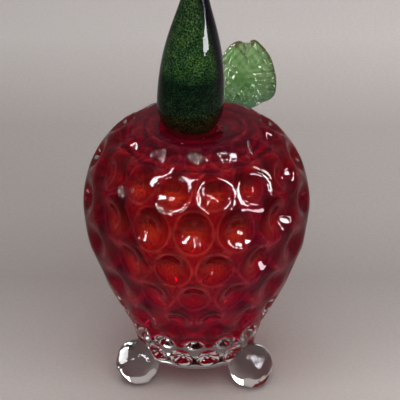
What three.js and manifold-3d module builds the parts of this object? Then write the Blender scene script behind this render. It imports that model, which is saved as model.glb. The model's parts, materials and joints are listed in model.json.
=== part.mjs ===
// An art glass strawberry: a hollow ruby bubble cased in clear, dimpled glass, which stands on
// three clear ball feet and carries a cased green stem and a pressed green leaf. Every piece is
// its own gather of glass, put on hot, so nothing on it moves.
import * as THREE from "three";
import { mergeVertices } from "three/addons/utils/BufferGeometryUtils.js";
import Module from "manifold-3d";

// Sizes are in millimetres and angles in degrees. The origin lies on the body's axis, on the
// surface that the feet stand on. +Z is up and -Y is the front. Bearings run from the front to +X.
const SEAM_GAP = 0.3; // stands for each seam where two gathers are fused

// Feet: balls of clear glass, pressed flat where they stand
const FOOT_RADIUS = 9.2;
const FOOT_FLAT_RADIUS = 4;
const FOOT_OUTREACH = 2.3; // from the edge of the base out to a foot's centre
const FOOT_BEARINGS = { foot_front_left: -63, foot_front_right: 55.5, foot_back: 180 };

// Body: its outside, over the ridges between the dimples. Rises are above its underside.
const UNDERSIDE_ABOVE_FOOT_CENTRE = 0.6;
const BASE_RADIUS = 24;
const BASE_CORNER = 5.6;
const SIDE_FLARE = 7; // lean of the side where it leaves the base
const SIDE_FULLNESS = 13.5; // how far the upright side of the base reaches
const BELLY_FULLNESS = 27; // how far the belly reaches down from the widest ring
const BODY_RADIUS = 45.3;
const WIDEST_RISE = 65.1;
const SHOULDER_FULLNESS = 20;
const CROWN_RADIUS = 17; // the ring round the stem's hollow, the highest part of the body
const CROWN_RISE = 101.1;
const CROWN_FULLNESS = 15;
const STEM_HOLLOW = 3; // depth of the hollow that the stem stands in
const PIPE_HOLE_RADIUS = 5; // where the blowpipe was cracked off, closed by the stem

// Dimples: staggered rows of round bowls, each row a little longer than the one above it
const DIMPLES_PER_ROW = 14;
const DIMPLE_ROWS = 7;
const DIMPLE_DEPTH = 4.5; // at the widest ring, and less where the body is narrower
const DIMPLE_BEARING = -1.65; // of a dimple in the top row
const TOP_ROW_ABOVE_WIDEST = 36.7; // along the surface
const TOP_ROW_LENGTH = 14.4;
const ROW_GROWTH = 1.045;

// Casing and bubble walls
const CASING_WALL = 6;
const WALL_EASE = 0.55; // shortens the pulls of an inset curve, so that the wall stays about even
const BASE_THICKNESS = 9.6;
const BUBBLE_WALL = 2;
const BUBBLE_BOTTOM_FULLNESS = 22;
const BUBBLE_SIDE_FULLNESS = 24;

// Stem: a drawn-out drop of speckled green glass under a clear casing
const STEM_SEAT_RADIUS = 9.6;
const STEM_RADIUS = 13.4;
const STEM_WIDEST_RISE = 12; // above the bottom of its hollow
const STEM_TIP_RADIUS = 2.4;
const STEM_LENGTH = 81; // to the centre of its round tip
const STEM_BELLY_FULLNESS = 33;
const STEM_NECK_FULLNESS = 30;
const STEM_CASE_WALL = 1.4;
const STEM_OFFSET = -2.9; // along X
const STEM_LEAN = 2.4; // towards +X
const PLUG_DEPTH = 5;

// Leaf: a pressed round blade with a crimped edge, standing behind the stem
const LEAF_RADIUS = 14.6;
const LEAF_THICKNESS = 4.2;
const LEAF_CUP = 2.6; // how far its edge curls to the front
const LEAF_LOBES = 13;
const LEAF_SCALLOP = 0.5;
const LEAF_RIB = 0.5;
const LEAF_SEAT_RADIUS = 28; // from the axis to the middle of its foot
const LEAF_BEARING = 139;
const LEAF_TURN = 10; // from facing the front
const LEAF_LEAN = 20; // backwards
const LEAF_SINK = 3.6; // how far the round blade is cut away by the shoulder it stands on

// Facets
const BODY_FACETS = DIMPLES_PER_ROW * 6;
const PLACES_PER_ROW = 5;
const BUBBLE_FACETS = DIMPLES_PER_ROW * 2;
const STEM_FACETS = 28;
const FOOT_FACETS = 24;
const LEAF_RINGS = 7;
const BEYOND = 20; // how far a cutting solid runs past what it cuts

const wasm = await Module();
wasm.setup();

const { degToRad: radians, lerp, smoothstep } = THREE.MathUtils;
const vec2 = (r, z) => new THREE.Vector2(r, z);

const footCentreHeight = Math.sqrt(FOOT_RADIUS ** 2 - FOOT_FLAT_RADIUS ** 2);
const underside = footCentreHeight + UNDERSIDE_ABOVE_FOOT_CENTRE;
const widest = underside + WIDEST_RISE;
const crown = underside + CROWN_RISE;
const stemSeat = crown - STEM_HOLLOW;

const glass = {
  clear: { color: 0xe9eeec, roughness: 0.04, transparent: true, opacity: 0.35 },
  ruby: { color: 0x9c0f16, roughness: 0.05 },
  stemGreen: { color: 0x1c4a24, roughness: 0.08 },
  leafGreen: { color: 0x7fb070, roughness: 0.06, transparent: true, opacity: 0.6 },
};

function piece(name, geometry, look) {
  const mesh = new THREE.Mesh(geometry, new THREE.MeshStandardMaterial({ metalness: 0, ...look }));
  mesh.name = name;
  return mesh;
}

// A closed geometry as a solid that can be cut and joined, placed by a matrix.
function solidOf(geometry, matrix = new THREE.Matrix4()) {
  const bare = geometry.clone().applyMatrix4(matrix);
  bare.deleteAttribute("normal");
  bare.deleteAttribute("uv");
  const merged = mergeVertices(bare, 1e-3);
  const mesh = new wasm.Mesh({
    numProp: 3,
    vertProperties: merged.attributes.position.array,
    triVerts: new Uint32Array(merged.index.array),
  });
  return new wasm.Manifold(mesh);
}

function geometryOf(solid, matrix = new THREE.Matrix4()) {
  const { vertProperties, triVerts } = solid.getMesh();
  const geometry = new THREE.BufferGeometry();
  geometry.setAttribute("position", new THREE.BufferAttribute(vertProperties, 3));
  geometry.setIndex(new THREE.BufferAttribute(triVerts, 1));
  geometry.applyMatrix4(matrix);
  geometry.computeVertexNormals();
  return geometry;
}

// A profile of radius and height, turned about Z.
function lathe(profile, facets) {
  return new THREE.LatheGeometry(profile, facets).rotateX(Math.PI / 2);
}

const bezier = (a, b, c, d) => new THREE.CubicBezierCurve(a, b, c, d);

function pathOf(...curves) {
  const path = new THREE.CurvePath();
  curves.forEach((curve) => path.add(curve));
  return path;
}

// Places along a path, as lengths from its start, with a number of even steps on each of its curves.
function evenPlaces(path, steps) {
  const ends = [0, ...path.getCurveLengths()];
  const places = steps.flatMap((count, index) =>
    Array.from({ length: count }, (_, i) => lerp(ends[index], ends[index + 1], (i + 1) / count)),
  );
  return [0, ...places];
}

// The points at those places, moved sideways by an offset. Outwards is positive on a path that climbs.
function pointsAt(path, places, offset = 0) {
  return places.map((place) => {
    const share = place / path.getLength();
    const along = path.getTangent(share);
    return path.getPoint(share).add(vec2(along.y, -along.x).multiplyScalar(offset));
  });
}

// Meridians of the body and of the bubble inside it

// From the widest ring over the crown and down into the stem's hollow, inset by a wall.
function shoulderAndHollow(inset) {
  const top = crown - inset;
  const seat = stemSeat - inset;
  const middle = (CROWN_RADIUS + PIPE_HOLE_RADIUS) / 2;
  const shortened = WALL_EASE * inset;
  return [
    bezier(
      vec2(BODY_RADIUS - inset, widest),
      vec2(BODY_RADIUS - inset, widest + SHOULDER_FULLNESS - shortened),
      vec2(CROWN_RADIUS + CROWN_FULLNESS - shortened, top),
      vec2(CROWN_RADIUS, top),
    ),
    bezier(vec2(CROWN_RADIUS, top), vec2(middle, top), vec2(middle, seat), vec2(PIPE_HOLE_RADIUS, seat)),
  ];
}

function bodyMeridian() {
  const flare = radians(SIDE_FLARE);
  const sideFoot = vec2(BASE_RADIUS, underside + BASE_CORNER);
  const corner = vec2(BASE_RADIUS - BASE_CORNER * Math.tan(flare), underside);
  const flatEdge = vec2(corner.x - BASE_CORNER, underside);
  return pathOf(
    new THREE.LineCurve(vec2(0, underside), flatEdge),
    new THREE.QuadraticBezierCurve(flatEdge, corner, sideFoot),
    bezier(
      sideFoot,
      vec2(Math.sin(flare), Math.cos(flare)).multiplyScalar(SIDE_FULLNESS).add(sideFoot),
      vec2(BODY_RADIUS, widest - BELLY_FULLNESS),
      vec2(BODY_RADIUS, widest),
    ),
    ...shoulderAndHollow(0),
  );
}
const bodyPath = bodyMeridian();
const [flatEnd, cornerEnd, widestPlace] = bodyPath.getCurveLengths();

function bubbleMeridian() {
  const radius = BODY_RADIUS - CASING_WALL;
  const bottom = underside + BASE_THICKNESS;
  return pathOf(
    bezier(
      vec2(0, bottom),
      vec2(BUBBLE_BOTTOM_FULLNESS, bottom),
      vec2(radius, widest - BUBBLE_SIDE_FULLNESS),
      vec2(radius, widest),
    ),
    ...shoulderAndHollow(CASING_WALL),
  );
}
const bubblePath = bubbleMeridian();
const bubblePlaces = evenPlaces(bubblePath, [9, 6, 3]);

// Dimples

// Row number at a place on the body's meridian: whole numbers are the rows' centres, 0 at the top.
function rowAt(place) {
  const below = widestPlace + TOP_ROW_ABOVE_WIDEST - place;
  return Math.log(1 + (below * (ROW_GROWTH - 1)) / TOP_ROW_LENGTH) / Math.log(ROW_GROWTH);
}

function placeOf(row) {
  const below = (TOP_ROW_LENGTH * (ROW_GROWTH ** row - 1)) / (ROW_GROWTH - 1);
  return widestPlace + TOP_ROW_ABOVE_WIDEST - below;
}

// From the middle of the underside up to the pipe hole, a few to a row where the side is dimpled.
function placesOnBody() {
  const cornerMiddle = (flatEnd + cornerEnd) / 2;
  const end = bodyPath.getLength();
  const count = PLACES_PER_ROW * (DIMPLE_ROWS + 2);
  const rows = Array.from({ length: count }, (_, i) => DIMPLE_ROWS - i / PLACES_PER_ROW);
  const dimpled = rows.map(placeOf).filter((place) => place > cornerMiddle + 1 && place < end - 1);
  return [0, flatEnd, cornerMiddle, ...dimpled, end];
}
const bodyPlaces = placesOnBody();

// Depth of the bowls, from 0 to 1. In units of half the spacing round a row, it falls with the square of
// the distance from the nearest bowl's centre, and runs out smoothly at 1, where two bowls of a row meet.
// The bowls fade between a quarter and three quarters of a row beyond the centres of the end rows.
function bowlDepth(row, bearing) {
  const halfPitch = Math.PI / DIMPLES_PER_ROW;
  const squares = [Math.floor(row), Math.floor(row) + 1].map((near) => {
    const turned = (bearing - radians(DIMPLE_BEARING)) / halfPitch - (near % 2 ? 1 : 0);
    const aside = turned - 2 * Math.round(turned / 2);
    return aside ** 2 + 3 * (row - near) ** 2;
  });
  const fromEnds = Math.min(row, DIMPLE_ROWS - 1 - row);
  return smoothstep(fromEnds, -0.75, -0.25) * Math.max(1 - Math.min(...squares), 0) ** 2;
}

// Body

function clearCasing() {
  const outside = pointsAt(bodyPath, bodyPlaces);
  const sunk = pointsAt(bodyPath, bodyPlaces, -1);
  const inside = pointsAt(bubblePath, bubblePlaces, SEAM_GAP).reverse();
  const profile = [...outside, ...inside];
  const geometry = new THREE.LatheGeometry(profile, BODY_FACETS, radians(DIMPLE_BEARING));
  const position = geometry.getAttribute("position");
  for (let i = 0; i < position.count; i++) {
    const step = i % profile.length;
    if (step >= outside.length) continue;
    const turn = Math.floor(i / profile.length) / BODY_FACETS;
    const bearing = radians(DIMPLE_BEARING) + 2 * Math.PI * turn;
    const deepest = (DIMPLE_DEPTH * outside[step].x) / BODY_RADIUS;
    const depth = deepest * bowlDepth(rowAt(bodyPlaces[step]), bearing);
    const moved = outside[step].clone().lerp(sunk[step], depth);
    position.setXYZ(i, moved.x * Math.sin(bearing), moved.y, moved.x * Math.cos(bearing));
  }
  geometry.rotateX(Math.PI / 2).computeVertexNormals();
  return piece("clear_casing", geometry, glass.clear);
}

function rubyBubble() {
  const outside = pointsAt(bubblePath, bubblePlaces);
  const cavity = pointsAt(bubblePath, bubblePlaces, -BUBBLE_WALL).reverse();
  return piece("ruby_bubble", lathe([...outside, ...cavity], BUBBLE_FACETS), glass.ruby);
}

// What the body takes up, with the seam round it. It cuts the seats of whatever is put on the body.
function bodyWithSeam() {
  const outside = pointsAt(bodyPath, bodyPlaces, SEAM_GAP);
  return solidOf(lathe([...outside, vec2(0, outside.at(-1).y)], BODY_FACETS));
}
const bodyCutter = bodyWithSeam();

// The geometry of a piece that stands at matrix, cut to fit on the body, still in its own frame.
function seatedOnBody(geometry, matrix) {
  return geometryOf(solidOf(geometry, matrix).subtract(bodyCutter), matrix.clone().invert());
}

// Feet

function foot(name, bearing) {
  const turn = radians(bearing);
  const reach = BASE_RADIUS + FOOT_OUTREACH;
  const matrix = new THREE.Matrix4()
    .makeRotationZ(turn)
    .setPosition(reach * Math.sin(turn), -reach * Math.cos(turn), footCentreHeight);
  const side = 2 * (FOOT_RADIUS + BEYOND);
  const ball = solidOf(new THREE.SphereGeometry(FOOT_RADIUS, FOOT_FACETS, FOOT_FACETS / 2));
  const floor = new THREE.BoxGeometry(side, side, BEYOND).translate(0, 0, -footCentreHeight - BEYOND / 2);
  const mesh = piece(name, seatedOnBody(geometryOf(ball.subtract(solidOf(floor))), matrix), glass.clear);
  mesh.applyMatrix4(matrix);
  return mesh;
}

// Stem

function stemMeridian() {
  return pathOf(
    bezier(
      vec2(STEM_SEAT_RADIUS, 0),
      vec2((STEM_SEAT_RADIUS + STEM_RADIUS) / 2, STEM_WIDEST_RISE / 4),
      vec2(STEM_RADIUS, STEM_WIDEST_RISE / 2),
      vec2(STEM_RADIUS, STEM_WIDEST_RISE),
    ),
    bezier(
      vec2(STEM_RADIUS, STEM_WIDEST_RISE),
      vec2(STEM_RADIUS, STEM_WIDEST_RISE + STEM_BELLY_FULLNESS),
      vec2(STEM_TIP_RADIUS, STEM_LENGTH - STEM_NECK_FULLNESS),
      vec2(STEM_TIP_RADIUS, STEM_LENGTH),
    ),
    new THREE.EllipseCurve(0, STEM_LENGTH, STEM_TIP_RADIUS, STEM_TIP_RADIUS, 0, Math.PI / 2),
  );
}
const stemPath = stemMeridian();
const stemPlaces = evenPlaces(stemPath, [4, 12, 3]);

// The stem's profile from its open foot to its tip, inset by a wall. The foot runs on into the
// body, which cuts it to the shape of the hollow.
function stemProfile(inset) {
  const points = pointsAt(stemPath, stemPlaces, -inset);
  points.at(-1).x = 0;
  return [vec2(points[0].x, -CASING_WALL), ...points];
}

function stem() {
  const group = new THREE.Group();
  group.position.set(STEM_OFFSET, 0, stemSeat);
  group.rotation.y = radians(STEM_LEAN);
  group.updateMatrix();
  const casing = lathe([...stemProfile(STEM_CASE_WALL).reverse(), ...stemProfile(0)], STEM_FACETS);
  group.add(piece("stem_casing", seatedOnBody(casing, group.matrix), glass.clear));

  const coreProfile = stemProfile(STEM_CASE_WALL + SEAM_GAP);
  const core = lathe([vec2(0, coreProfile[0].y), ...coreProfile], STEM_FACETS);
  const plugLength = PLUG_DEPTH + STEM_WIDEST_RISE;
  const plug = new THREE.CylinderGeometry(
    PIPE_HOLE_RADIUS - SEAM_GAP,
    PIPE_HOLE_RADIUS - SEAM_GAP,
    plugLength,
    STEM_FACETS,
  )
    .rotateX(Math.PI / 2)
    .translate(0, 0, stemSeat - PLUG_DEPTH + plugLength / 2);
  const seated = solidOf(core, group.matrix).subtract(bodyCutter).add(solidOf(plug));
  group.add(piece("stem_core", geometryOf(seated, group.matrix.clone().invert()), glass.stemGreen));
  return group;
}

// Leaf

// One side of the blade at a share of its radius and an angle round it, in the blade's own plane.
function bladePoint(share, angle, side) {
  const lobe = Math.cos(LEAF_LOBES * angle);
  const radius = share * (LEAF_RADIUS - LEAF_SCALLOP * (1 - lobe) / 2);
  const rib = LEAF_RIB * share ** 2 * lobe;
  const half = (LEAF_THICKNESS / 2 + rib) * Math.sqrt(1 - share ** 4);
  const y = -LEAF_CUP * share ** 2 + side * half;
  return [radius * Math.cos(angle), y, radius * Math.sin(angle)];
}

function bladeGeometry() {
  const around = LEAF_LOBES * 4;
  const points = [];
  const faces = [];
  const rings = [];
  // From the middle of the front out to the edge and back in to the middle of the back
  for (let ring = 0; ring <= 2 * LEAF_RINGS; ring++) {
    const share = 1 - Math.abs(1 - ring / LEAF_RINGS);
    const side = ring < LEAF_RINGS ? -1 : 1;
    const places = share === 0 ? 1 : around;
    rings.push({ first: points.length / 3, places });
    for (let i = 0; i < places; i++)
      points.push(...bladePoint(share, (2 * Math.PI * i) / around, side));
  }
  const at = (ring, i) => ring.first + (i % ring.places);
  rings.slice(1).forEach((outer, index) => {
    const inner = rings[index];
    for (let i = 0; i < around; i++) {
      if (inner.places > 1) faces.push(at(inner, i), at(outer, i), at(inner, i + 1));
      if (outer.places > 1) faces.push(at(inner, i + 1), at(outer, i), at(outer, i + 1));
    }
  });
  const geometry = new THREE.BufferGeometry();
  geometry.setAttribute("position", new THREE.Float32BufferAttribute(points, 3));
  geometry.setIndex(faces);
  return geometry;
}

// Height of the body's outside at a distance from its axis, over the shoulder.
function shoulderHeight(radius) {
  const [shoulder] = shoulderAndHollow(0);
  return shoulder.getPoints(200).find((point) => point.x <= radius).y;
}

function leaf() {
  const bearing = radians(LEAF_BEARING);
  const lean = radians(LEAF_LEAN);
  const toCentre = LEAF_RADIUS - LEAF_SINK;
  const turned = new THREE.Euler(-lean, 0, radians(LEAF_TURN), "ZYX");
  const upwards = new THREE.Vector3(0, 0, toCentre).applyEuler(turned);
  const seat = new THREE.Vector3(
    LEAF_SEAT_RADIUS * Math.sin(bearing),
    -LEAF_SEAT_RADIUS * Math.cos(bearing),
    shoulderHeight(LEAF_SEAT_RADIUS),
  );
  const matrix = new THREE.Matrix4().makeRotationFromEuler(turned).setPosition(seat.add(upwards));
  const mesh = piece("leaf", seatedOnBody(bladeGeometry(), matrix), glass.leafGreen);
  mesh.applyMatrix4(matrix);
  return mesh;
}

const strawberry = new THREE.Group();
strawberry.add(rubyBubble(), clearCasing(), stem(), leaf());
Object.entries(FOOT_BEARINGS).forEach(([name, bearing]) => strawberry.add(foot(name, bearing)));

export default strawberry;
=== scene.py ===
import json

import bmesh
import bpy
import numpy as np
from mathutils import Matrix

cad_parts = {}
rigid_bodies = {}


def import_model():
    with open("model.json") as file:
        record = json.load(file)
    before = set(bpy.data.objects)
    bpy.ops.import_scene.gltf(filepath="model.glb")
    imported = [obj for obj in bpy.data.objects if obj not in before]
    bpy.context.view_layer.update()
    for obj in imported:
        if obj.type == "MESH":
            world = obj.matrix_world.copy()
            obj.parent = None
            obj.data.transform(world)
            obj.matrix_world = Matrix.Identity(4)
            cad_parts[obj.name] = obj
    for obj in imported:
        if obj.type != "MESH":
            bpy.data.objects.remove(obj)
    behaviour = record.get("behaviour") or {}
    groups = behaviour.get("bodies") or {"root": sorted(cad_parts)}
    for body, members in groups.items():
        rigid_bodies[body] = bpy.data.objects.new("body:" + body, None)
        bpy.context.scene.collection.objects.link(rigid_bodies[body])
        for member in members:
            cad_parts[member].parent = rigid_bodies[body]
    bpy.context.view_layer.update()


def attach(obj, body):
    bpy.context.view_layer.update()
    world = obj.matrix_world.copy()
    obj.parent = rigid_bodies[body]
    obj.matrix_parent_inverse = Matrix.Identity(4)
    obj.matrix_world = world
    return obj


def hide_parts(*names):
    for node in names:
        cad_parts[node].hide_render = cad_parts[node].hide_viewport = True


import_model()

# Ruby bubble: the first gather, red glass blown into a thin hollow bubble. It took a little of the
# mould's dimples through the clear glass over it, and holds sealed air. Sizes are in millimetres.
millimetre = 0.001
underside, widest, crown = 8.885, 73.985, 109.985
body_radius, crown_radius, stem_hollow, hollow_radius = 45.3, 17.0, 3.0, 5.0
casing_wall, bubble_wall, base_thickness = 6.0, 2.0, 8.5
bubble_foot, bubble_radius = underside + base_thickness, body_radius - casing_wall
bubble_rows, bubble_columns = 150, 252
print_outside, print_inside = 2.8, 1.4


def bezier(a, b, c, d, count=400):
    """Points of a cubic curve from a to d, pulled towards b and c."""
    t = np.linspace(0, 1, count)[:, None]
    a, b, c, d = (np.array(p, float) for p in (a, b, c, d))
    return (1 - t) ** 3 * a + 3 * (1 - t) ** 2 * t * b + 3 * (1 - t) * t**2 * c + t**3 * d


def run_of(points):
    """Length along a row of points, from its first."""
    steps = np.linalg.norm(np.diff(points, axis=0), axis=1)
    return np.concatenate([[0.0], np.cumsum(steps)])


def evenly(points, count):
    """The same line with count points, spaced evenly along it."""
    run = run_of(points)
    places = np.linspace(0, run[-1], count)
    return np.stack([np.interp(places, run, points[:, i]) for i in (0, 1)], axis=1)


def outward(points):
    """Unit normals of a profile of radius and height that climbs, pointing away from the axis."""
    along = np.gradient(points, axis=0)
    along /= np.linalg.norm(along, axis=1)[:, None]
    return np.stack([along[:, 1], -along[:, 0]], axis=1)


def over_shoulder(inset):
    """From the widest ring over the crown and down into the stem's hollow, inset by a wall.

    A cubic curve makes the shoulder, a smaller one the hollow's lip, and a line runs to the axis.
    """
    shoulder_rise, shoulder_run, easing = 20, 15, 0.55 * inset
    top, seat, side = crown - inset, crown - stem_hollow - inset, body_radius - inset
    lip = (crown_radius + hollow_radius) / 2
    return np.concatenate([
        bezier(
            (side, widest), (side, widest + shoulder_rise - easing),
            (crown_radius + shoulder_run - easing, top), (crown_radius, top),
        ),
        bezier((crown_radius, top), (lip, top), (lip, seat), (hollow_radius, seat))[1:],
        [[hollow_radius / 2, seat], [0, seat]],
    ])


def dimples(place, bearing, reach=0.95):
    """Depth, from 0 to 1, of staggered rows of round bowls.

    place is the length along the meridian above the widest ring. Rows grow by a fixed ratio
    downwards, so the row number is a logarithm of the place, and the last rows are squeezed by the
    foot of the mould. In units of half the spacing round a row, a bowl's depth falls with the
    square of the distance from its centre and runs out smoothly at its reach. The mould's bowls end
    just short of their neighbours, which leaves plain land between.
    """
    growth, first_row, first_length, rows, per_row = 1.045, 36.4, 14.4, 8, 14
    squeezed_row, mould_turn, edge_power = 5, np.radians(1.8), 2.4
    grown = 1 + (first_row - place) * (growth - 1) / first_length
    row = np.log(np.maximum(grown, 0.05)) / np.log(growth)
    low = np.maximum(row - squeezed_row, 0)
    row = row + 0.4 * low + 0.35 * low**2
    least = np.inf
    for near in (np.floor(row), np.floor(row) + 1):
        turned = (bearing + mould_turn) * per_row / np.pi - np.mod(near, 2)
        aside = turned - 2 * np.round(turned / 2)
        least = np.minimum(least, aside**2 + 3 * (row - near) ** 2)
    fade = np.clip((np.minimum(row, rows - 1 - row) + 0.75) / 0.5, 0, 1)
    return fade**2 * (3 - 2 * fade) * np.maximum(1 - least / reach**2, 0) ** edge_power


def bearings_of(columns):
    """The bearings of a grid's columns round Z, from the front (-Y) towards +X."""
    return np.linspace(0, 2 * np.pi, columns, endpoint=False)[None, :]


def turned_grid(profile, columns, depth=None):
    """A profile of radius and height carried round Z, sunk along its normals by depth if given."""
    bearing = bearings_of(columns)
    radius, height = (np.repeat(profile[:, i : i + 1], columns, axis=1) for i in (0, 1))
    if depth is not None:
        normal = outward(profile)
        sunk = depth(bearing)
        radius = np.where(radius > 1e-6, radius - normal[:, :1] * sunk, 0)
        height = height - normal[:, 1:] * sunk
    return np.stack([radius * np.sin(bearing), -radius * np.cos(bearing), height], axis=2)


def closed_mesh(name, *grids, **shares):
    """One object from grids of points, each wrapped round its columns, with its end rows at poles.

    Faces turn outwards where the rows climb and the columns run to +X. Points that meet are merged.
    Shares that are given, such as how far each point is pressed in, become point attributes.
    """
    points, faces, first = [], [], 0
    for grid in grids:
        rows, columns = grid.shape[:2]
        index = first + np.arange(rows * columns).reshape(rows, columns)
        beside = np.roll(index, -1, axis=1)
        quads = np.stack([index[:-1], beside[:-1], beside[1:], index[1:]], axis=2)
        faces.append(quads.reshape(-1, 4))
        points.append(grid.reshape(-1, 3) * millimetre)
        first += rows * columns
    mesh = bpy.data.meshes.new(name)
    mesh.from_pydata(np.concatenate(points).tolist(), [], np.concatenate(faces).tolist())
    for share, values in shares.items():
        flat = np.concatenate([value.ravel() for value in values]).astype(np.float32)
        mesh.attributes.new(share, "FLOAT", "POINT").data.foreach_set("value", flat)
    work = bmesh.new()
    work.from_mesh(mesh)
    bmesh.ops.remove_doubles(work, verts=work.verts, dist=1e-7)
    work.to_mesh(mesh)
    work.free()
    mesh.polygons.foreach_set("use_smooth", np.ones(len(mesh.polygons), bool))
    piece = bpy.data.objects.new(name, mesh)
    bpy.context.scene.collection.objects.link(piece)
    return piece


def add(tree, kind, inputs=None, **settings):
    """A node with its settings, and its inputs set to values or linked from other outputs."""
    made = tree.nodes.new("ShaderNode" + kind)
    for name, value in settings.items():
        setattr(made, name, value)
    for name, value in (inputs or {}).items():
        if isinstance(value, bpy.types.NodeSocket):
            tree.links.new(value, made.inputs[name])
        else:
            made.inputs[name].default_value = value
    return made


def ramp(tree, value, *stops):
    """A colour that follows a value through stops of place and colour or grey, held beyond them."""
    first, last = stops[0][0], stops[-1][0]
    share = add(tree, "MapRange", {"Value": value, "From Min": first, "From Max": last})
    made = add(tree, "ValToRGB", {"Fac": share.outputs["Result"]})
    for place, _ in stops[1:-1]:
        made.color_ramp.elements.new((place - first) / (last - first))
    for element, (place, colour) in zip(made.color_ramp.elements, stops):
        element.position = (place - first) / (last - first)
        element.color = (*np.broadcast_to(colour, 3).tolist(), 1)
    return made.outputs["Color"]


def times(tree, one, *others):
    """Colours multiplied."""
    for other in others:
        inputs = {0: 1.0, 6: one, 7: other}
        one = add(tree, "Mix", inputs, data_type="RGBA", blend_type="MULTIPLY").outputs[2]
    return one


def mixed(tree, share, one, other):
    """One colour turning into another as the share goes from 0 to 1."""
    return add(tree, "Mix", {0: share, 6: one, 7: other}, data_type="RGBA").outputs[2]


def summed(tree, one, factor, other):
    """One value times a factor, plus another value."""
    inputs = {0: one, 1: factor, 2: other}
    return add(tree, "Math", inputs, operation="MULTIPLY_ADD").outputs[0]


def spot(tree):
    """The object's own coordinates at the point that is shaded, together and as X, Y and Z."""
    where = add(tree, "TexCoord").outputs["Object"]
    return where, add(tree, "SeparateXYZ", {"Vector": where}).outputs


# The skin of glass melted smooth in the fire: slow waves, and a gloss that wanders a little.
skin = bpy.data.node_groups.new("fire_polish", "ShaderNodeTree")
for name in ("Scale", "Waves", "Dullest"):
    skin.interface.new_socket(name, in_out="INPUT", socket_type="NodeSocketFloat")
skin.interface.new_socket("Roughness", in_out="OUTPUT", socket_type="NodeSocketFloat")
skin.interface.new_socket("Cloud", in_out="OUTPUT", socket_type="NodeSocketFloat")
skin.interface.new_socket("Normal", in_out="OUTPUT", socket_type="NodeSocketVector")
given = skin.nodes.new("NodeGroupInput").outputs
taken = skin.nodes.new("NodeGroupOutput").inputs
place = {"Vector": add(skin, "TexCoord").outputs["Object"], "Scale": given["Scale"]}
slow = add(skin, "TexNoise", {**place, "Detail": 1.0}).outputs["Fac"]
bump = add(skin, "Bump", {"Height": slow, "Distance": given["Waves"]})
cloud = add(skin, "TexNoise", {**place, "Detail": 4.0, "Distortion": 0.8}).outputs["Fac"]
dull = add(
    skin, "MapRange",
    {"Value": cloud, "From Min": 0.45, "From Max": 0.8, "To Max": given["Dullest"]},
)
skin.links.new(dull.outputs["Result"], taken["Roughness"])
skin.links.new(cloud, taken["Cloud"])
skin.links.new(bump.outputs["Normal"], taken["Normal"])


def polished(tree, surface, scale, waves, dullest):
    """Puts the fire-polished skin on a surface, and gives its cloud.

    scale is the cloud's fineness per metre, waves the height of its slow waves in metres, and
    dullest the most roughness that it reaches.
    """
    look = tree.nodes.new("ShaderNodeGroup")
    look.node_tree = skin
    for name, value in (("Scale", scale), ("Waves", waves), ("Dullest", dullest)):
        look.inputs[name].default_value = value
    tree.links.new(look.outputs["Roughness"], surface.inputs["Roughness"])
    tree.links.new(look.outputs["Normal"], surface.inputs["Normal"])
    return look.outputs["Cloud"]


def lit_glass(name, ior, clear, sheen, lamp_tint):
    """A glass material: a Principled surface to the eye, and a tinted clear one to lamp light."""
    glass = bpy.data.materials.new(name)
    glass.use_nodes = True
    tree = glass.node_tree
    tree.nodes.clear()
    surface = add(
        tree, "BsdfPrincipled",
        {"IOR": ior, "Transmission Weight": clear, "Specular Tint": (*sheen, 1)},
    )
    through = add(tree, "BsdfTransparent", {"Color": (*lamp_tint, 1)})
    path = add(tree, "LightPath").outputs
    shader = surface.outputs[0]
    for ray in ("Is Diffuse Ray", "Is Shadow Ray"):
        inputs = {0: path[ray], 1: shader, 2: through.outputs[0]}
        shader = add(tree, "MixShader", inputs).outputs[0]
    add(tree, "OutputMaterial", {"Surface": shader})
    return glass, tree, surface, through


bubble_side = bezier(
    (0, bubble_foot), (22, bubble_foot), (bubble_radius, widest - 24), (bubble_radius, widest)
)
bubble_line = evenly(np.concatenate([bubble_side, over_shoulder(casing_wall)[1:]]), bubble_rows)
bubble_widest = run_of(bubble_line)[np.argmax(bubble_line[:, 0])]


def bubble_dimples(deep, lower=0.0):
    """The body's dimples as a function of bearing, as deep as given, moved down by lower.

    Places are stretched to the casing's size. The bubble slid in the mould as it was blown, so its
    dimples lie a little high at the crown and low at the foot, by slides that depend on the height.
    """
    heights, slides, reach = (62, 77, 90, 100), (4.2, 1.5, -1.8, -3.2), 1.1
    place = (run_of(bubble_line) - bubble_widest)[:, None] * body_radius / bubble_radius + lower
    place = place + np.interp(bubble_line[:, 1:], heights, slides)
    scale = bubble_line[:, :1] / bubble_line[:, 0].max()
    return lambda bearing: deep * scale * dimples(place, bearing, reach)


def bubble_shade_and_rings(bearing):
    """Where the ruby's colour is darker, above 0, or lighter, below 0.

    The dimples moved up less the dimples moved down give painted shade in the upper half of each
    dimple and painted light in the lower half, fading out away from the front and back. Two wavy
    sets of rings, sines of the radius, lie round the crown.
    """
    slip, crown_start, crown_band = 2.4, 94, 5
    radius, height = bubble_line[:, :1], bubble_line[:, 1:]
    facing = np.clip((np.abs(np.cos(bearing)) - 0.3) / 0.5, 0, 1)
    halves = bubble_dimples(1.0, -slip)(bearing) - bubble_dimples(1.0, slip)(bearing)
    rings = np.sin(1.6 * radius + 0.8 * np.sin(3 * bearing))
    rings = rings + 0.5 * np.sin(2.9 * radius - np.sin(2 * bearing))
    return facing * halves + 0.5 * np.clip((height - crown_start) / crown_band, 0, 1) * rings


inner_line = bubble_line - bubble_wall * outward(bubble_line)
bubble_outside = turned_grid(bubble_line, bubble_columns, bubble_dimples(print_outside))
bubble_inside = turned_grid(inner_line, bubble_columns, bubble_dimples(print_inside))
bubble_inside[[0, -1], :, :2] = 0
thin = bubble_dimples(1.0)(bearings_of(bubble_columns))
sag = bubble_shade_and_rings(bearings_of(bubble_columns))
bubble = closed_mesh(
    "ruby_bubble_glass", bubble_outside, bubble_inside[::-1],
    pressed=(thin, thin[::-1]), sagged=(sag, sag[::-1]),
)
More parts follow.
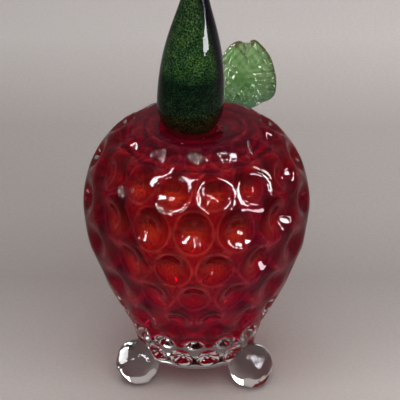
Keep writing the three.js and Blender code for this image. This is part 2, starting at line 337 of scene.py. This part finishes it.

# The ruby's colour: crimson on the ridges, which are warmer at the front and back as painted light,
# with a painted reflection as a pale line at the rims of the dimples. The dimples are orange,
# partly as thinner glass and partly as painted light, strongest at mid height and at the front and
# back, with painted shade at the left and right. Painted shade darkens the upper half of each
# dimple and painted light brightens the lower half; rings run round the crown. By height, painted
# light makes it lighter and bluer towards the foot, and painted shade makes it darker at the crown.
ruby_glass, tree, surface, _ = lit_glass("ruby_glass", 1.0, 0.87, (1, 1, 1), (0.86, 0.5, 0.5))
_, at = spot(tree)
cloud = polished(tree, surface, scale=60, waves=0.0002, dullest=0.05)
pressed = add(tree, "Attribute", attribute_name="pressed").outputs["Fac"]
sagged = add(tree, "Attribute", attribute_name="sagged").outputs["Fac"]
crimson = (0.54, 0.011, 0.042)
# Crimson ridges, with a painted reflection as a pale line just inside the rim of each dimple.
ridge_with_painted_rim_line = ramp(
    tree, pressed,
    (0.0, crimson), (0.022, crimson), (0.05, (0.9, 0.12, 0.14)), (0.085, (0.5, 0.008, 0.032)),
)
# Orange in the dimples by height: partly thinner glass, partly painted light that is strongest at
# mid height.
thin_glass_and_painted_glow = ramp(
    tree, at["Z"],
    (0.03, (0.9, 0.012, 0.055)), (0.048, (0.66, 0.03, 0.036)), (0.066, (0.9, 0.1, 0.028)),
    (0.092, (1, 0.13, 0.032)), (0.106, (0.8, 0.03, 0.04)),
)
# Painted shade dulls the dimples at the left and right, and painted light makes the ridges warmer
# at the front and back.
depth_wise = summed(tree, at["X"], 0.16, at["Y"])
off_middle = add(tree, "Math", {0: depth_wise}, operation="ABSOLUTE").outputs[0]
painted_side_shade = ramp(tree, off_middle, (0.016, (0.62, 0.1, 1.4)), (0.036, 1))
painted_front_light = ramp(tree, off_middle, (0.028, 1), (0.038, (1.25, 1.8, 0.6)))
inside = add(tree, "MapRange", {"Value": pressed, "From Min": 0.08, "From Max": 0.55})
red = mixed(
    tree, inside.outputs["Result"], times(tree, ridge_with_painted_rim_line, painted_front_light), times(tree, thin_glass_and_painted_glow, painted_side_shade)
)
# Painted shade in the upper half of each dimple and painted light in the lower half, with darker
# and lighter rings round the crown.
sunk = ramp(tree, sagged, (-0.5, (1.25, 1.3, 1)), (0, 1), (0.5, (0.5, 0.36, 0.6)))
# Painted light and shade by height: lighter and bluer towards the foot, darker and bluer at the
# crown.
wall = ramp(
    tree, at["Z"],
    (0.02, (1.85, 1.2, 3.5)), (0.052, (1.2, 1.15, 2.5)), (0.096, 1), (0.106, (0.78, 0.9, 1.4)),
)
streaks = ramp(tree, cloud, (0.3, (0.86, 0.8, 0.9)), (0.7, 1))
tree.links.new(times(tree, red, sunk, wall, streaks), surface.inputs["Base Color"])
bubble.data.materials.append(ruby_glass)
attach(bubble, "root")
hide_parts("ruby_bubble")

# Clear casing: the second gather, clear glass over the ruby, pressed in an optic mould that leaves
# the staggered dimples, thick and solid under the bubble. It is fused to the ruby, so no surface
# shows between them.
base_radius, base_corner, flare = 24.0, 5.6, np.radians(7)
body_rows, body_columns = 236, 336
dimple_depth, air_gap = 3.9, 0.2
side_foot = np.array([base_radius, underside + base_corner])
corner = np.array([base_radius - base_corner * np.tan(flare), underside])
flat_edge = corner - [base_corner, 0]
side_pull = side_foot + 13.5 * np.array([np.sin(flare), np.cos(flare)])
base_edge = bezier(
    flat_edge, flat_edge + (corner - flat_edge) * 2 / 3,
    side_foot + (corner - side_foot) * 2 / 3, side_foot,
)
body_side = bezier(side_foot, side_pull, (body_radius, widest - 27), (body_radius, widest))
body_line = evenly(
    np.concatenate([[[0, underside]], base_edge, body_side[1:], over_shoulder(0)[1:]]), body_rows
)
body_widest = run_of(body_line)[np.argmax(body_line[:, 0])]


def body_pressed(bearing):
    """How far the mould pressed in each place, from 0 to 1."""
    return dimples((run_of(body_line) - body_widest)[:, None], bearing)


def body_dimples(bearing):
    """The mould's dimples, shallower where the body is narrower, and faint rings round the crown.

    The rings are a wavy sine of the radius, faded in above the shoulder and out at the stem.
    """
    radius, height = body_line[:, :1], body_line[:, 1:]
    bowls = dimple_depth * radius / body_radius * body_pressed(bearing)
    on_crown = np.clip((height - 100) / 6, 0, 1) * np.clip((radius - 15) / 6, 0, 1)
    return bowls + 0.07 * on_crown * np.sin(radius * 2.1 + 0.6 * np.sin(3 * bearing))


# Light leaves the fused glass at the sealed air, so the inner surface lies just within the ruby.
every_other = np.r_[0 : bubble_rows - 1 : 2, bubble_rows - 1]
air = bubble_inside[every_other, ::2] * [0.995, 0.995, 1]
air[..., 2] += np.where(air[..., 2] < widest, air_gap, -air_gap)
casing = closed_mesh(
    "clear_casing_glass", turned_grid(body_line, body_columns, body_dimples), air[::-1],
    pressed=(body_pressed(bearings_of(body_columns)), np.zeros(air.shape[:2])),
)
clear_glass, tree, surface, through = lit_glass(
    "clear_glass", 1.48, 1.0, (0.34, 0.34, 0.36), (0.9, 0.9, 0.9)
)
_, at = spot(tree)
cloud = polished(tree, surface, scale=70, waves=0.00005, dullest=0.008)
striae = ramp(tree, cloud, (0.3, (0.97, 0.985, 0.975)), (0.7, 1))
tree.links.new(striae, surface.inputs["Base Color"])
shadow = ramp(tree, at["Z"], (0.02, (0.43, 0.3, 0.33)), (0.032, 0.88))
tree.links.new(shadow, through.inputs["Color"])
pressed = add(tree, "Attribute", attribute_name="pressed").outputs["Fac"]
rims = ramp(tree, pressed, (0.0, 1.0), (0.015, 1.0), (0.06, 0.0), (0.5, 0.0))
waved = surface.inputs["Normal"].links[0].from_socket
rimmed = add(tree, "Bump", {"Height": rims, "Distance": 0.00003, "Normal": waved})
tree.links.new(rimmed.outputs["Normal"], surface.inputs["Normal"])
casing.data.materials.append(clear_glass)
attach(casing, "root")
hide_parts("clear_casing")

# Feet: three balls of clear glass, dabbed on hot under the edge of the base and pressed flat where
# they stand. Hot glass keeps them a little lumpy, each with a low seam where it folded over.
foot_radius, foot_height, foot_reach = 9.2, 8.285, base_radius + 2.3
foot_rows, foot_columns = 97, 168
seam_height, seam_width = 0.24, 0.075


def reach_to_body(start, ways, longest, count=160):
    """How far from start, along each of the unit ways, the body begins, at most longest."""
    t = np.linspace(0, longest, count)
    x, y, z = (start[i] + ways[..., i, None] * t for i in range(3))
    climb = np.argmax(body_line[:, 1]) + 1
    edge = np.interp(z, body_line[:climb, 1], body_line[:climb, 0], left=-1, right=-1)
    inside = np.hypot(x, y) < edge
    return np.where(inside.any(axis=-1), t[np.argmax(inside, axis=-1)], longest)


def soft_least(*lengths, blend=0.35):
    """The least of several lengths with rounded corners: a logarithm of summed exponentials."""
    return -blend * np.log(sum(np.exp(-length / blend) for length in lengths))


def foot_grid(bearing, seam, seam_place):
    """A lumpy ball as rays from its centre, each the least of the ball, the floor and the body.

    The lumps are four low waves over the ray's two angles. The seam runs where a ray's share along
    the way seam is seam_place.
    """
    centre = np.array([foot_reach * np.sin(bearing), -foot_reach * np.cos(bearing), foot_height])
    tilt = np.linspace(-np.pi / 2, np.pi / 2, foot_rows)[:, None]
    turn = bearings_of(foot_columns)
    level = np.cos(tilt)
    ways = np.stack(
        [level * np.sin(turn), -level * np.cos(turn), np.sin(tilt) + 0 * turn], axis=2
    )
    lumps = (
        0.36 * np.sin(2 * turn + 3 * bearing + 2 * tilt)
        + 0.2 * np.sin(3 * turn - 5 * tilt + bearing)
        + 0.09 * np.sin(7 * turn + 5 * tilt - 2 * bearing)
        + 0.07 * np.sin(5 * turn - 9 * tilt + 4 * bearing)
    )
    off_seam = (ways @ np.array(seam) - seam_place) / seam_width
    ball = foot_radius + (lumps - 0.25) * level + seam_height * np.exp(-(off_seam**2))
    floor = np.minimum(foot_height / np.maximum(-ways[..., 2], 1e-3), 40)
    length = soft_least(ball, floor, reach_to_body(centre, ways, 20.0))
    points = centre + ways * length[..., None]
    points[..., 2] = np.maximum(points[..., 2], 0)
    points[[0, -1]] = points[[0, -1]].mean(axis=1, keepdims=True)
    return points


feet = bpy.data.collections.new("feet")
for node, bearing, seam, seam_place in (
    ("foot_front_left", -63, (-0.5, 0.37, 0.79), 0.21),
    ("foot_front_right", 55.5, (0.42, 0.39, 0.82), 0.48),
    ("foot_back", 180, (0.3, -0.4, 0.87), 0.3),
):
    foot = closed_mesh(node + "_glass", foot_grid(np.radians(bearing), seam, seam_place))
    foot.data.materials.append(clear_glass)
    feet.objects.link(foot)
    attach(foot, "root")
    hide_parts(node)

# Stem core: dark green glass rolled in frit, which leaves it full of fine yellow-green specks. A
# near-black streak down its right side is a painted reflection of the dark room in the casing's
# edge, and the core is darker and redder towards its foot as painted shade. Its foot closes the
# hole that the blowpipe left.
stem_seat_radius, stem_radius, stem_widest = 9.6, 13.4, 12.0
stem_tip_radius, stem_length, stem_wall = 2.4, 81.0, 1.4
stem_lean, stem_shift = np.radians(2.4), -2.9
stem_rows, stem_columns = 200, 96
core_gap, core_foot = 0.1, 0.6
swell = bezier(
    (stem_seat_radius, 0), ((stem_seat_radius + stem_radius) / 2, stem_widest / 4),
    (stem_radius, stem_widest / 2), (stem_radius, stem_widest),
)
taper = bezier(
    (stem_radius, stem_widest), (stem_radius, stem_widest + 33),
    (stem_tip_radius, stem_length - 30), (stem_tip_radius, stem_length),
)
stem_line = np.concatenate([swell, taper[1:]])


def stem_grid(inset, foot):
    """The drop's profile, inset by a wall, from foot below its seat to a round tip, carried round.

    It leans right as a whole, and bends back with the square of the height above the bend's start.
    """
    bend, bend_start, foot_edge, cap_rows = 0.0026, 48, 0.8, 40
    line = stem_line - inset * outward(stem_line)
    tip = stem_tip_radius - inset
    bow = np.linspace(0, np.pi / 2, cap_rows)[1:, None]
    cap = np.concatenate([tip * np.cos(bow), stem_length + tip * np.sin(bow)], axis=1)
    cap[-1, 0] = 0
    start = [[0, -foot], [line[0, 0] - foot_edge, -foot], [line[0, 0], foot_edge - foot]]
    profile = evenly(np.concatenate([start, line, cap]), stem_rows)
    x, y, z = np.moveaxis(turned_grid(profile, stem_columns), 2, 0)
    return np.stack([
        x * np.cos(stem_lean) + z * np.sin(stem_lean) + stem_shift,
        y + bend * np.maximum(z - bend_start, 0) ** 2,
        -x * np.sin(stem_lean) + z * np.cos(stem_lean) + crown - stem_hollow,
    ], axis=2)


core = closed_mesh("stem_core_glass", stem_grid(stem_wall + core_gap, core_foot))
frit = bpy.data.materials.new("green_frit")
frit.use_nodes = True
tree = frit.node_tree
surface = tree.nodes["Principled BSDF"]
surface.inputs["Specular IOR Level"].default_value = 0.0
where, at = spot(tree)
fine = {"Vector": where, "Scale": 1900.0, "Detail": 3.0, "Distortion": 0.6}
specks = add(tree, "TexNoise", fine).outputs["Fac"]
shade = ramp(
    tree, specks,
    (0.4, (0.003, 0.01, 0.004)), (0.54, (0.026, 0.08, 0.022)), (0.7, (0.115, 0.245, 0.07)),
)
patches = add(tree, "TexNoise", {"Vector": where, "Scale": 260.0, "Detail": 2.0}).outputs["Fac"]
patch = ramp(tree, patches, (0.35, (0.7, 0.72, 0.9)), (0.65, (1.35, 1.25, 1)))
# Painted shade: darker and redder towards the foot of the core.
painted_foot_shade = (0.8, 0.28, 0.35)
painted_shade_by_height = ramp(
    tree, at["Z"],
    (0.108, painted_foot_shade), (0.1128, painted_foot_shade), (0.1176, (0.25, 0.26, 0.3)), (0.1296, (0.1, 0.2, 0.26)),
    (0.1352, 1), (0.168, (1.05, 0.8, 1.05)),
)
# Painted reflection: a near-black streak down the right side of the core, widest at the top, for
# the dark room seen in the casing's edge.
reflection_edge = ramp(
    tree, at["Z"], (0.118, 1.0), (0.127, 0.7), (0.14, 0.56), (0.152, 0.32), (0.165, 0.0)
)
past_reflection_edge = summed(tree, reflection_edge, -0.0115, at["X"])
in_dark_reflection = add(tree, "MapRange", {"Value": past_reflection_edge, "From Min": -0.0012, "From Max": 0.0012})
painted_dark_reflection = (0.008, 0.006, 0.011, 1)
plain = times(tree, shade, patch, painted_shade_by_height)
with_dark_reflection = mixed(tree, in_dark_reflection.outputs["Result"], plain, painted_dark_reflection)
tree.links.new(with_dark_reflection, surface.inputs["Base Color"])
grain = add(tree, "Bump", {"Height": specks, "Distance": 0.0002})
tree.links.new(grain.outputs["Normal"], surface.inputs["Normal"])
dry = add(tree, "MapRange", {"Value": patches, "To Min": 0.45, "To Max": 0.75})
tree.links.new(dry.outputs["Result"], surface.inputs["Roughness"])
core.data.materials.append(frit)
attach(core, "root")
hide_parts("stem_core")

# Stem casing: a thin clear gather over the green, drawn out with it to a round tip. Its foot is
# fused into the hollow of the crown.
stem_case_foot = 1.0
stem_case = closed_mesh("stem_casing_glass", stem_grid(0, stem_case_foot))
stem_case.data.materials.append(clear_glass)
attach(stem_case, "root")
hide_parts("stem_casing")

# Leaf: a bit of pale green glass pressed into a round blade with a crimped edge, stuck on hot
# behind the stem, curling to the front, with a vein at its top notch and a folded bottom margin.
# Its edge is a list of angles in degrees and radii.
leaf_thickness, leaf_cup = 4.2, 2.6
leaf_bearing, leaf_turn, leaf_lean = np.radians(139), np.radians(10), np.radians(20)
leaf_seat_radius, leaf_lift = 28, 11
leaf_columns, leaf_rings = 360, 50
leaf_edge = np.array([
    (-65, 13.0), (-54, 12.9), (-42, 14.6), (-31, 15.2), (-16, 14.3), (12, 13.5), (39, 14.4),
    (55, 15.3), (70, 16.3), (79, 13.2), (90, 15.0), (105, 14.1), (118, 12.6), (128, 11.9),
    (180, 11.5), (240, 12.5),
])


def step(value, middle, width):
    """A step from 0 to 1 at a middle, over a width: one over one plus an exponential."""
    return 1 / (1 + np.exp((middle - value) / width))


def hump(value, middle, width):
    """A hump of height 1 at a middle, over a width: an exponential of minus the square."""
    return np.exp(-(((value - middle) / width) ** 2))


def leaf_grid():
    """Two faces, front and back, joined at a round rim.

    The radius follows the edge by angle, smoothed by damping its fine waves, and stops at the body.
    Across a face the blade is cupped by the square of the share of the radius. A vein, ribs, a
    folded margin and crimps change its thickness, which runs out at the rim, and low waves ripple
    both faces.
    """
    smoothness, deepest, sunk_in = 22, 30.0, 0.6
    share = np.sin(np.linspace(0, np.pi / 2, leaf_rings))
    share = np.concatenate([share, share[-2::-1]])[:, None]
    side = np.where(np.arange(2 * leaf_rings - 1) < leaf_rings, -1, 1)[:, None]
    angle = np.linspace(0, 2 * np.pi, leaf_columns, endpoint=False)[None, :]
    right = np.array([np.cos(leaf_turn), np.sin(leaf_turn), 0])
    ahead = np.array([-np.sin(leaf_turn), np.cos(leaf_turn), 0])
    back = ahead * np.cos(leaf_lean) - [0, 0, np.sin(leaf_lean)]
    up = np.cross(right, back)
    shoulder = body_line[np.argmax(body_line[:, 0]) : np.argmax(body_line[:, 1]) + 1]
    seat_height = np.interp(-leaf_seat_radius, -shoulder[:, 0], shoulder[:, 1])
    seat = leaf_seat_radius * np.array([np.sin(leaf_bearing), -np.cos(leaf_bearing), 0])
    centre = seat + [0, 0, seat_height] + up * leaf_lift
    ways = np.cos(angle)[0, :, None] * right + np.sin(angle)[0, :, None] * up
    limit = reach_to_body(centre, ways, deepest)[None, :] + sunk_in
    edge = np.interp(np.degrees(angle), leaf_edge[:, 0], leaf_edge[:, 1], period=360)
    damped = np.fft.rfft(edge) * hump(np.arange(leaf_columns // 2 + 1), 0, smoothness)
    rim = soft_least(np.fft.irfft(damped, leaf_columns), limit, blend=0.2)
    a, b = share * rim * np.cos(angle), share * rim * np.sin(angle)
    vein = -hump(a, 2.6, 1.0) * step(b, 7, 0.8)
    ribs = 0.45 * np.sin(2.6 * b) * step(a, 5, 1.2) * step(-b, -2, 1.0)
    fold = hump(share, 0.84, 0.09) * step(-b, 5.5, 0.8) * (0.9 + 0.5 * np.sin(1.9 * a))
    crimps = 0.6 * share**5 * np.sin(19 * angle) * (0.6 + 0.4 * np.sin(3 * angle))
    half_thick = leaf_thickness / 2 + vein + ribs + fold + crimps
    half_thick = half_thick * np.sqrt(np.maximum(1 - share**4, 0))
    ripple = share * (
        0.22 * np.sin(0.7 * a + 0.5 * b + 1)
        + 0.16 * np.sin(1.3 * b - 0.8 * a)
        + 0.2 * np.sin(1.9 * a + 1.2 * b)
        + 0.18 * np.sin(1.7 * b - 1.9 * a + 2)
    )
    y = side * half_thick - leaf_cup * share**2 - side * ripple * (1 - share**8)
    return centre + a[..., None] * right + b[..., None] * up + y[..., None] * back


leaf = closed_mesh("leaf_glass", leaf_grid()[:, ::-1])
leaf_glass, tree, surface, _ = lit_glass(
    "leaf_glass", 1.5, 0.95, (0.5, 0.5, 0.5), (0.8, 0.86, 0.78)
)
_, at = spot(tree)
cloud = polished(tree, surface, scale=130, waves=0.00003, dullest=0.008)
green = ramp(tree, cloud, (0.35, (0.26, 0.6, 0.17)), (0.65, (0.62, 0.9, 0.48)))
margin = ramp(
    tree, at["Z"],
    (0.106, (0.28, 0.42, 0.3)), (0.113, (0.6, 0.72, 0.6)), (0.12, (1, 1.05, 0.95)),
    (0.131, (1.2, 1.4, 1.15)),
)
tree.links.new(times(tree, green, margin), surface.inputs["Base Color"])
leaf.data.materials.append(leaf_glass)
leaf.visible_glossy = False
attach(leaf, "root")
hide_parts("leaf")

# Backdrop: a sheet of warm grey paper under and behind the object. Painted shade and light in its
# colour make it darker where the light falls off and lighter far behind, and darker where glass
# reflects it. It is a plain sheet, with the paper's fibres and tooth in its material.
half_sheet = 4
paper_mesh = bpy.data.meshes.new("paper")
corners = np.array([(-1, -1, 0), (1, -1, 0), (1, 1, 0), (-1, 1, 0)]) * half_sheet
paper_mesh.from_pydata(corners.tolist(), [], [(0, 1, 2, 3)])
paper = bpy.data.objects.new("paper", paper_mesh)
bpy.context.scene.collection.objects.link(paper)
paper_mat = bpy.data.materials.new("warm_grey_paper")
paper_mat.use_nodes = True
tree = paper_mat.node_tree
surface = tree.nodes["Principled BSDF"]
surface.inputs["Specular IOR Level"].default_value = 0.1
where, at = spot(tree)
# Painted shade and light along the depth: darker far in front and just behind the object, lighter
# far behind.
deep = ramp(
    tree, at["Y"],
    (-0.4, 0.5), (-0.02, 0.94), (0.026, 0.78), (0.082, 0.64), (0.147, 0.78), (0.231, 0.86),
    (0.324, (1.25, 1.28, 1.3)),
)
# Painted shade and light across: darker far to the left and right, lighter just right of the
# middle.
wide = ramp(tree, at["X"], (-0.4, 0.6), (-0.11, 0.92), (0.11, 1.15), (0.4, 0.8))
fibres = add(tree, "TexNoise", {"Vector": where, "Scale": 700.0, "Detail": 3.0}).outputs["Fac"]
fibre = ramp(tree, fibres, (0.3, 0.96), (0.7, 1.04))
# Painted shade in reflections: the glass sees the paper darker.
shade_in_reflections = ramp(tree, add(tree, "LightPath").outputs["Is Glossy Ray"], (0, 1), (1, 0.55))
warm_grey = (0.478, 0.427, 0.4, 1)
tone = times(tree, warm_grey, deep, wide, fibre, shade_in_reflections)
tree.links.new(tone, surface.inputs["Base Color"])
tooth = add(tree, "Bump", {"Height": fibres, "Distance": 0.0001})
tree.links.new(tooth.outputs["Normal"], surface.inputs["Normal"])
matt = add(tree, "MapRange", {"Value": fibres, "To Min": 0.85, "To Max": 0.95})
tree.links.new(matt.outputs["Result"], surface.inputs["Roughness"])
paper.data.materials.append(paper_mat)

# Light: a soft box overhead and a fill for the matt surfaces, windows and cards that only the glass
# shows, and a grey room. Bearings and heights are in degrees, lengths in metres.
aim_height = 0.075


def panel(name, bearing, height, distance, wide, tall, bright, seen_by):
    """A flat lamp at a bearing from the front and an angle above the floor, facing the body.

    Its energy is its brightness times pi times its area. It lights matt surfaces, or glass shows it
    by reflection or by refraction.
    """
    bearing, height = np.radians(bearing), np.radians(height)
    level = np.cos(height)
    way = np.array([np.sin(bearing) * level, -np.cos(bearing) * level, np.sin(height)])
    data = bpy.data.lights.new(name, "AREA")
    data.shape, data.size, data.size_y = "RECTANGLE", wide, tall
    data.energy = bright * np.pi * wide * tall
    lamp = bpy.data.objects.new(name, data)
    lamp.location = way * distance + [0, 0, aim_height]
    lamp.rotation_euler = (np.pi / 2 - height, 0, bearing)
    lamp.visible_camera = False
    lamp.visible_diffuse = seen_by == "matt"
    lamp.visible_glossy = seen_by == "reflection"
    lamp.visible_transmission = seen_by == "refraction"
    bpy.context.scene.collection.objects.link(lamp)
    return lamp


body = bpy.data.collections.new("body")
for piece in (casing, *feet.objects):
    body.objects.link(piece)
for receivers, *lamp_values in (
    (None, "soft_box", 0, 78, 1.3, 1.4, 1.4, 2.6, "matt"),
    (None, "fill", 8, 32, 1.5, 1.0, 0.8, 3.6, "matt"),
    (body, "window_right", 56, 25.7, 1.3, 0.36, 0.39, 66, "reflection"),
    (body, "window_front", 32, 33, 1.3, 0.24, 0.4, 96, "reflection"),
    (None, "door_right", 93, 32, 1.3, 0.13, 0.5, 44, "reflection"),
    (None, "lamp_left", -31, 35.4, 1.3, 0.13, 0.17, 80, "reflection"),
    (None, "window_left", -58, 49, 1.3, 0.15, 0.66, 74, "reflection"),
    (None, "front_top", -13, 55, 1.3, 0.15, 0.6, 76, "reflection"),
    (None, "card_low", 57, 5.9, 0.6, 0.26, 0.075, 40, "reflection"),
    (feet, "rim_left", -106, 24, 1.0, 0.74, 0.8, 34, "reflection"),
    (feet, "rim_back", -150, 32, 1.0, 0.3, 0.9, 26, "reflection"),
    (feet, "rim_right", 142, 3, 0.5, 0.4, 0.26, 4, "refraction"),
):
    panel(*lamp_values).light_linking.receiver_collection = receivers
world = bpy.data.worlds.new("room")
bpy.context.scene.world = world
world.use_nodes = True
tree = world.node_tree
sky = add(tree, "TexCoord").outputs["Generated"]
height = add(tree, "SeparateXYZ", {"Vector": sky}).outputs["Z"]
room = ramp(tree, height, (0, (0.08, 0.08, 0.085)), (1, (0.2, 0.21, 0.23)))
path = add(tree, "LightPath").outputs
eye = summed(tree, path["Is Transmission Ray"], 0.8, path["Is Camera Ray"])
far_paper = (0.45, 0.4, 0.385, 1)
seen = mixed(tree, eye, room, far_paper)
tree.links.new(seen, tree.nodes["Background"].inputs["Color"])

# Camera: a long lens three metres away, a little above, aimed at the middle of the body. The view
# transform is the standard one.
rise, distance = np.radians(25.5), 3
aim = np.array([0.00136, 0, 0.0746])
camera_data = bpy.data.cameras.new("camera")
camera_data.sensor_width = 36
camera_data.lens = 675
camera_data.clip_start = 0.01
camera = bpy.data.objects.new("camera", camera_data)
camera.location = aim + distance * np.array([0, -np.cos(rise), np.sin(rise)])
camera.rotation_euler = (np.pi / 2 - rise, 0, 0)
bpy.context.scene.collection.objects.link(camera)
bpy.context.scene.camera = camera
bpy.context.scene.view_settings.view_transform = "Standard"
